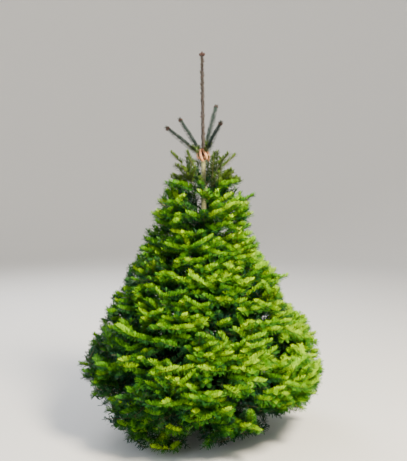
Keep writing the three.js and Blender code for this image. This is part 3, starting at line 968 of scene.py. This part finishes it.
# The marking tape, tied round the foot of the leader
TAPE_HEIGHT = LEADER_FOOT + 50
FILM_THICKNESS = 0.5
BAND_LAPS = 7
BAND_STEPS = 36           # points in a lap
BAND_WIDTH = 12
BAND_TOP = 4
BAND_DROP = 8.5           # for each lap
BAND_RADIUS = LEADER_RADIUS + 3.5
BAND_GROWTH = 0.5         # of the radius, for each lap
CREASE = 0.5              # depth of its creases, and how fast they follow each other round it
CREASE_PACE = 5.3
WANDER = 1.5              # the same for its wander up and down
WANDER_PACE = 1.7
EDGE_TILT = 0.22          # and for the tilt of its edges
EDGE_PACE = 3
TAPE_GAP = 45             # degrees between two loose lengths
TAPE_SEED = 17
TAPE_LENGTH = 66
TAPE_LENGTHS = (0.82, 1.12)       # how the loose lengths differ, as shares of the length above
TAPE_WIDTH = 17
TAPE_WIDTHS = (0.85, 1.1)
TAPE_BOW = 24
TAPE_BOWS = (0.85, 1.15)
BOW_START = 0.05          # the stretch of a half wave that a bow follows, and how full it is
BOW_SPAN = 0.66
BOW_POWER = 0.85
TAPE_CURL = 0.6
TAPE_TURN = 4             # degrees to one side or the other
TAPE_SLANT = 0.62
TAPE_POINTS = 18
TAPE_RADIUS = LEADER_RADIUS + 7
TAPE_GATHER = (0.55, 0.45)        # share of its width at the band, and what it gains in its first quarter


def tape_strip(middles, sides, width):
    """Points and faces of a strip whose middle line and directions across are given."""
    points, faces = [], []
    for middle, side in zip(middles, sides):
        points += [middle - side * width / 2, middle, middle + side * width / 2]
    for row in range(len(middles) - 1):
        for half in range(2):
            low = 3 * row + half
            faces.append((low, low + 1, low + 4, low + 3))
    return points, faces


def wound_tape():
    """The tape wound down round the leader's foot, lap under lap, with small uneven creases."""
    middles, sides = [], []
    for turn in np.linspace(0, 2 * math.pi * BAND_LAPS, BAND_STEPS * BAND_LAPS):
        lap = turn / (2 * math.pi)
        radius = BAND_RADIUS + BAND_GROWTH * lap + CREASE * math.sin(CREASE_PACE * turn)
        height = TAPE_HEIGHT + BAND_TOP - BAND_DROP * lap + WANDER * math.sin(WANDER_PACE * turn)
        middles.append(trunk_axis(height) + radius * sideways(turn))
        sides.append(unit(UP + EDGE_TILT * math.sin(EDGE_PACE * turn + lap) * sideways(turn)))
    return [tape_strip(middles, sides, BAND_WIDTH)]


def hanging_tape():
    """The loose lengths: each falls from the band, bows outwards and turns in again at its end."""
    strips = []
    draw = np.random.default_rng(TAPE_SEED)
    for degrees in range(0, 360, TAPE_GAP):
        length = TAPE_LENGTH * draw.uniform(*TAPE_LENGTHS)
        bow = TAPE_BOW * draw.uniform(*TAPE_BOWS)
        curl = draw.uniform(-TAPE_CURL, TAPE_CURL)
        width = TAPE_WIDTH * draw.uniform(*TAPE_WIDTHS)
        first = math.radians(degrees + draw.uniform(-TAPE_TURN, TAPE_TURN))
        middles, sides = [], []
        for share in np.linspace(0, 1, TAPE_POINTS):
            aim = sideways(first + TAPE_SLANT * share)
            across = np.cross(UP, aim)
            out = TAPE_RADIUS + bow * math.sin(math.pi * (BOW_START + BOW_SPAN * share) ** BOW_POWER)
            middles.append(trunk_axis(TAPE_HEIGHT - length * share) + aim * out)
            turn = curl * share ** 2
            spread = TAPE_GATHER[0] + TAPE_GATHER[1] * min(1, share * 4)
            sides.append(unit(across * math.cos(turn) + aim * math.sin(turn)) * spread)
        strips.append(tape_strip(middles, sides, width))
    return strips


def tape_piece(name, strips, finish):
    piece = smooth_piece(name, *joined(strips), finish, "marking_tape")
    film = piece.modifiers.new("film", "SOLIDIFY")
    film.thickness = FILM_THICKNESS * MM
    film.offset = 0


# The wound band: old plastic film, rust brown and darkened as painted shade, with a soft gleam on its
# creases
wound_film = mottled(
    material("rust_and_shade_plastic_film", Roughness=0.45), "#4A2812", "#7E4A24", patch=9, crease=3)
# The loose lengths: the same film in a pale peach orange, darker where its creases dip
loose_film = mottled(
    material("faded_orange_plastic_film", Roughness=0.38), "#DE9468", "#F8BC92", patch=9, crease=3)
tape_piece("tape_band", wound_tape(), wound_film)
tape_piece("tape_tails", hanging_tape(), loose_film)

# Twigs
TWIG_PACE = 45
TWIG_FOOT = 1.3
TWIG_GROWTH = 0.006       # of the radius at the foot, for each millimetre of length
TWIG_TIP = 1.1
TWIG_SIDES = 3


def twig_piece(name, orders, finish):
    lines, thickness = [], []
    for shoot in all_shoots:
        if shoot["order"] in orders:
            length = np.linalg.norm(shoot["line"][-1] - shoot["line"][0])
            line = shoot["line"][even_picks(len(shoot["line"]), round(length / TWIG_PACE) + 1)]
            lines.append(line)
            thickness.append(np.linspace(TWIG_FOOT + TWIG_GROWTH * length, TWIG_TIP, len(line)) * MM)
    points, edges = chains(lines)
    mesh = mesh_of(name, points, edges=edges, thickness=np.concatenate(thickness))
    piece = run_tree(name, limb_rule, mesh, "bark", Sides=TWIG_SIDES, Finish=finish)
    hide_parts(*mass_nodes)


limb_rule = limb_tree()
# Bark of the older twigs: matt grey brown
old_bark = material("old_fir_twig_bark", Base_Color=linear("#5E4E38"), Roughness=0.8)
# Bark of this year's twigs: smoother, yellowish brown
young_bark = material("young_fir_twig_bark", Base_Color=linear("#7A6840"), Roughness=0.65)
twig_piece("twigs_main", (SMALL_ORDER, 1), old_bark)
twig_piece("twigs_fine", (2, 3), young_bark)

# Needles: plain base colours, dealt out by shoot. They are flat and waxy, so light slides along them in a
# soft gleam. Their colours paint the light and shade that each shoot gets, and the lower needles of a lit
# shoot are painted darker, as shade, which makes it look round
NEEDLE_COLOURS = {
    "sunlit_needle": "#9CD404",               # this year's growth in full light: bright green
    "sunlit_needle_below": "#427E26",         # its underside: mid green, painted shade
    "sunlit_yellow_needle": "#B6E200",        # the same on the shoots that are yellower
    "sunlit_yellow_needle_below": "#528822",  # their underside, painted shade
    "fresh_needle": "#78B40E",                # this year's growth in half light: leaf green
    "fresh_needle_below": "#346C24",          # its underside: darker leaf green, painted shade
    "fresh_cool_needle": "#62A41C",           # the same on the shoots that are bluer
    "fresh_cool_needle_below": "#2C622C",     # their underside, painted shade
    "grown_and_shaded_needle": "#4C8422",                # last year's growth, and this year's on shoots in painted shade: full green
    "grown_and_shaded_needle_below": "#285228",          # its underside: dark green, painted shade
    "grown_and_shaded_cool_needle": "#3C7430",           # the same on the shoots that are bluer
    "grown_and_shaded_cool_needle_below": "#204A30",     # their underside, painted shade
    "shaded_needle": "#2C5A30",               # painted shade on growth under other shoots, deep in the crown and on older stretches: dark green
    "shaded_cool_needle": "#244E3A",          # and a little blue
    "inner_needle": "#20402A",                # old growth near the trunk: nearly black green, partly painted shade
    "dead_needle": "#A8762E",                 # a few dry sprays: rusty tan
    "top_shoot_needle": "#465652",            # the shoots round the leader: dark grey-green, partly painted shade
    "leader_needle": "#453E34",               # stubs on the leader: dark olive brown
    "olive_needle": "#62802E",                # the thin whorl under the leader: dull olive
    "olive_needle_below": "#3A5422",          # its underside: dark olive, painted shade
}
UPPER = 1.15              # turn from straight up, in radians, where the upper needles end
LOWEST = 2.4              # and where the lower ones end, as none point straight down
LEAN = 1.08               # turn from the shoot's own heading
# Each kind of needles: the colours that its shoots are dealt in turn, and its needles' shape, spacing,
# length and width. Lower needles have a darker colour of their own, painted shade, where NEEDLE_COLOURS
# names one
KINDS = {
    "bright": {"tints": ["sunlit_needle", "sunlit_yellow_needle"],
               "shape": "blunt", "spacing": 0.66, "length": 38, "width": 3.2},
    "fresh": {"tints": ["fresh_needle", "fresh_cool_needle"],
              "shape": "flat", "spacing": 0.6, "length": 38, "width": 3.5},
    "grown": {"tints": ["grown_and_shaded_needle", "grown_and_shaded_cool_needle"],
              "shape": "flat", "spacing": 0.85, "length": 38, "width": 3.8},
    "shade": {"tints": ["shaded_needle", "shaded_cool_needle"],
              "shape": "flat", "spacing": 2.2, "length": 34, "width": 4.8},
    "deep": {"tints": ["inner_needle"], "shape": "flat", "spacing": 4.0, "length": 36, "width": 7.0},
    "dead": {"tints": ["dead_needle"], "shape": "flat", "spacing": 2.2, "length": 27, "width": 3.8},
    "top": {"tints": ["top_shoot_needle"], "shape": "flat", "spacing": 0.3, "length": 25, "width": 2.6,
            "lean": 0.92, "lowest": 3.14},
    "leader": {"tints": ["leader_needle"], "shape": "flat", "spacing": 0.9, "length": 27, "width": 2.4,
               "lean": 0.62, "lowest": 3.14},
    "dull": {"tints": ["olive_needle"], "shape": "blunt", "spacing": 0.8, "length": 32, "width": 3.6},
}
TRIANGLES = {"blunt": 4, "flat": 2}     # of one needle
PIECE_LIMIT = 180000                    # triangles of one piece
NEEDLE_SEED = 10
VIGOUR = [(0, 0.8), (12, 1)]            # a needle's length by its distance from the shoot's tip
CLOSING = [(0, 0.7), (16, 1)]           # and its lean
NEEDLE_THINNING = 3                     # about each third point of a shoot shapes its needles' row

# Which kind a shoot gets: its colour paints the light and shade that fall on it. Its light counts from about
# 0, in full shade, to about 1, and grows to the right and to the front. It falls where other shoots cover it
# and high up
LIGHT = 0.74
LIGHT_TO_RIGHT = 0.0008
LIGHT_TO_BACK = -0.0003
LIGHT_COVERED = -0.5
LIGHT_HIGH_UP = [(1150, 0), (1350, -0.2)]
DEALS = [(0.55, "shade"), (0.32, "grown"), (-0.15, "fresh")]      # by how far its draw is over its light
DEAL_SEED = 31
DRY_SHARE = 0.0015
DULL_HEIGHT = 1480
INNER = 95                # depth under the crown's outline past which needles are painted dark, as shade
BARE_DEPTH = 330          # and past which there are few
THIS_YEAR = 120           # length of a shoot that carries this year's needles
LAST_YEARS = 300          # and last year's and older ones, before only a few are left
# An older stretch of a shoot takes a darker kind: older growth, partly painted shade deeper in the crown
OLDER = {"bright": "grown", "fresh": "grown", "grown": "shade", "dull": "shade"}
BARE_FOOT = 20            # bare stretch at a shoot's root, or at most this share of the shoot
BARE_SHARE = 0.2
TOP_GREEN = (28, 105)     # stretch of a top shoot, from its root, with dull green needles
TOP_GREY = 60             # and where its grey-green ones begin
STUB_POINTS = 16          # points of the line of stubs on the leader, and where it begins and ends
STUB_FOOT = 50
STUB_TOP = 4
COVER_CELL = 45           # side of the cubes in which each third point of the shoots is counted
COVER_FULL = 24           # this many above a shoot's end cover it fully
COVER_PACE = 3


def needle_shape(name, fine):
    """One needle, 1 long and 1 wide: a blunt strip folded along its midrib, or a plain flat one."""
    fold = 0.22
    if fine:
        left = [(-0.5, 0.16, fold), (-0.5, 0.86, fold)]
        edge = [(0, 0, 0), *left, (0, 1, 0), (0.5, 0.86, fold), (0.5, 0.16, fold)]
        faces = [(0, 3, 2, 1), (0, 5, 4, 3)]
    else:
        edge = [(-0.36, 0, 0), (0.36, 0, 0), (0.44, 0.94, 0), (-0.44, 0.94, 0)]
        faces = [(0, 1, 2, 3)]
    return shown(name, mesh_of(name, edge, faces, scale=1))


cover = {}
for shoot in all_shoots:
    for cube in np.floor(shoot["line"][::COVER_PACE] / COVER_CELL).astype(int):
        cover[tuple(cube)] = cover.get(tuple(cube), 0) + 1


def covered(tip):
    """How much of other shoots lies close above a shoot's end: 0 for none, 1 for a full cover."""
    x, y, z = np.floor(tip / COVER_CELL).astype(int)
    beside = [(x + i, y + j) for i in (-1, 0, 1) for j in (-1, 0, 1)]
    near = sum(cover.get((*place, z + k), 0) for place in beside for k in (1, 2, 3))
    return min(near / COVER_FULL, 1)


laid = {kind: [] for kind in KINDS}


def lay(kind, line, gap, keep):
    """Gives a stretch of a shoot to a kind of needles. gap is how far each point lies from the tip."""
    if keep.sum() < 2:
        return
    part, distance = line[keep], gap[keep]
    pick = even_picks(len(part), round((len(part) - 1) / NEEDLE_THINNING) + 1)
    laid[kind].append({"line": part[pick], "gap": distance[pick]})


def kind_of(shoot, chance, draw):
    """The kind of needles on a shoot's young part."""
    tip = shoot["line"][-1]
    under = depth(tip[None])[0]
    light = LIGHT + LIGHT_TO_RIGHT * tip[0] + LIGHT_TO_BACK * tip[1] + LIGHT_COVERED * covered(tip)
    light += np.interp(tip[2], *zip(*LIGHT_HIGH_UP))
    if chance < DRY_SHARE:
        return "dead"
    if shoot["row"] == 1 and tip[2] > DULL_HEIGHT:
        return "dull"
    if under > BARE_DEPTH:
        return "deep"
    if under > INNER:
        return "shade"
    return next((kind for over, kind in DEALS if draw > light + over), "bright")


def lay_all():
    deal = np.random.default_rng(DEAL_SEED)
    for shoot in all_shoots:
        line = shoot["line"]
        chance, draw = deal.random(2)
        gap = along(line[::-1])[::-1]
        from_root = gap[0] - gap
        if shoot["row"] == 0:
            lay("dull", line, gap, (from_root > TOP_GREEN[0]) & (from_root < TOP_GREEN[1]))
            lay("top", line, gap, from_root > TOP_GREY)
            continue
        leafy = from_root >= min(BARE_FOOT, BARE_SHARE * gap[0])
        kind = kind_of(shoot, chance, draw)
        lay(kind, line, gap, leafy & (gap <= THIS_YEAR))
        lay(OLDER.get(kind, kind), line, gap, leafy & (gap > THIS_YEAR) & (gap < LAST_YEARS))
        lay("deep", line, gap, leafy & (gap >= LAST_YEARS))
    heights = np.linspace(LEADER_FOOT + STUB_FOOT, LEADER_END - STUB_TOP, STUB_POINTS)
    line = np.array([trunk_axis(z) for z in heights])
    lay("leader", line, np.full(STUB_POINTS, THIS_YEAR), np.full(STUB_POINTS, True))


def needle_piece(name, parts, finish, **values):
    points, edges = chains([part["line"] for part in parts])
    gap = np.concatenate([part["gap"] for part in parts])
    mesh = mesh_of(name, points, edges=edges, vigour=np.interp(gap, *zip(*VIGOUR)),
                   closing=np.interp(gap, *zip(*CLOSING)))
    piece = run_tree(name, needle_rule, mesh, "needles", Finish=finish, **values)
    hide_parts(*mass_nodes)


def needle_pieces(kind, rule, parts):
    """The pieces of one kind: upper and lower needles where their colours differ, the lower ones painted
    darker as shade, and as many pieces of each as there are colours to deal or as the limit on triangles
    asks for."""
    length = sum(np.linalg.norm(np.diff(part["line"], axis=0), axis=1).sum() for part in parts)
    tints, shape = rule["tints"], rule["shape"]
    # below: the darker colours of the lower needles, painted shade
    below = [tint + "_below" for tint in tints if tint + "_below" in NEEDLE_COLOURS]
    sides = [("round", tints, shape, 0.0, rule.get("lowest", LOWEST))]
    if below:
        sides = [("upper", tints, shape, 0.0, UPPER), ("lower", below, "flat", UPPER, LOWEST)]
    for side, colours, form, nearest, farthest in sides:
        pace = rule["spacing"] * LOWEST / (farthest - nearest) if below else rule["spacing"]
        pieces = max(len(colours), math.ceil(length / pace * TRIANGLES[form] / PIECE_LIMIT))
        for turn in range(pieces):
            finish = finishes[colours[turn % len(colours)]]
            needle_piece(
                f"needles_{kind}_{side}_{turn + 1}", parts[turn::pieces], finish, Needle=shapes[form],
                Spacing=pace * MM, Length=rule["length"] * MM, Width=rule["width"] * MM,
                Lean=rule.get("lean", LEAN), Nearest=nearest, Farthest=farthest, Seed=NEEDLE_SEED + turn)


needle_rule = needle_tree()
finishes = {name: material(name, Base_Color=linear(colour), Roughness=0.45, Specular_IOR_Level=0.1)
            for name, colour in NEEDLE_COLOURS.items()}
shapes = {"blunt": needle_shape("needle_blunt", True), "flat": needle_shape("needle_flat", False)}
lay_all()
for kind, rule in KINDS.items():
    needle_pieces(kind, rule, laid[kind])
for shape in shapes.values():
    bpy.data.objects.remove(shape)

# Stage, light and camera, in metres. The camera stands where the photograph was taken from
STAGE_RADIUS = 7.0
STAGE_BEND = 5.0
STAGE_WALL = 12.0
STAGE_SIDES = 96
STAGE_RINGS = 16
EYE_DISTANCE = 4.1
EYE_HEIGHT = 1.6
EYE_DIP = 5.67            # degrees below level
SENSOR = 36
FOCAL = 700               # in pixels of the photograph
PICTURE_HEIGHT = 461


def stage_floor():
    """A pale floor that bends up into a round wall with no edge."""
    profile = [(STAGE_RADIUS, 0.0)]
    for ring in range(1, STAGE_RINGS + 1):
        turn = math.pi / 2 * ring / STAGE_RINGS
        profile.append((STAGE_RADIUS + STAGE_BEND * math.sin(turn), STAGE_BEND * (1 - math.cos(turn))))
    profile.append((STAGE_RADIUS + STAGE_BEND, STAGE_WALL))
    points, faces = [(0, 0, 0)], []
    for radius, height in profile:
        for side in range(STAGE_SIDES):
            turn = 2 * math.pi * side / STAGE_SIDES
            points.append((radius * math.cos(turn), radius * math.sin(turn), height))
    for side in range(STAGE_SIDES):
        beside = (side + 1) % STAGE_SIDES
        faces.append((0, 1 + side, 1 + beside))
        for ring in range(len(profile) - 1):
            low = 1 + ring * STAGE_SIDES
            faces.append((low + side, low + STAGE_SIDES + side, low + STAGE_SIDES + beside, low + beside))
    mesh = smooth(mesh_of("floor", points, faces, scale=1))
    # Matt white wall paint: an even pale floor with no gleam
    mesh.materials.append(material("matt_white_floor_paint", Base_Color=linear("#EEEEEE"), Roughness=0.9))
    shown("floor", mesh)


def area_light(name, place, target, size, power, colour):
    light = bpy.data.lights.new(name, "AREA")
    light.size = size
    light.energy = power
    light.color = linear(colour)[:3]
    lamp = shown(name, light)
    lamp.location = place
    lamp.rotation_euler = (Vector(target) - Vector(place)).to_track_quat("-Z", "Y").to_euler()


def sky(colour, strength):
    world = bpy.data.worlds.new("studio")
    world.use_nodes = True
    background = world.node_tree.nodes["Background"]
    background.inputs["Color"].default_value = linear(colour)
    background.inputs["Strength"].default_value = strength
    bpy.context.scene.world = world


def camera():
    lens = bpy.data.cameras.new("camera")
    lens.sensor_width = SENSOR
    lens.lens = SENSOR * FOCAL / PICTURE_HEIGHT
    eye = shown("camera", lens)
    eye.location = (0, -EYE_DISTANCE, EYE_HEIGHT)
    eye.rotation_euler = (math.radians(90 - EYE_DIP), 0, 0)
    bpy.context.scene.camera = eye


stage_floor()
# A warm soft light from the right, a wide one from behind, and a weak cool one from the left
area_light("key", (2.4, -3.0, 4.8), (0, 0, 0.9), 1.4, 920, "#FFF1D6")
area_light("rim", (-2.2, 4.0, 4.2), (0, 0, 1.0), 3.0, 260, "#FFFFFF")
area_light("fill", (-4.0, -2.5, 2.5), (0, 0, 1.0), 3.0, 70, "#DCE8FF")
sky("#DDE4EE", 0.42)
camera()
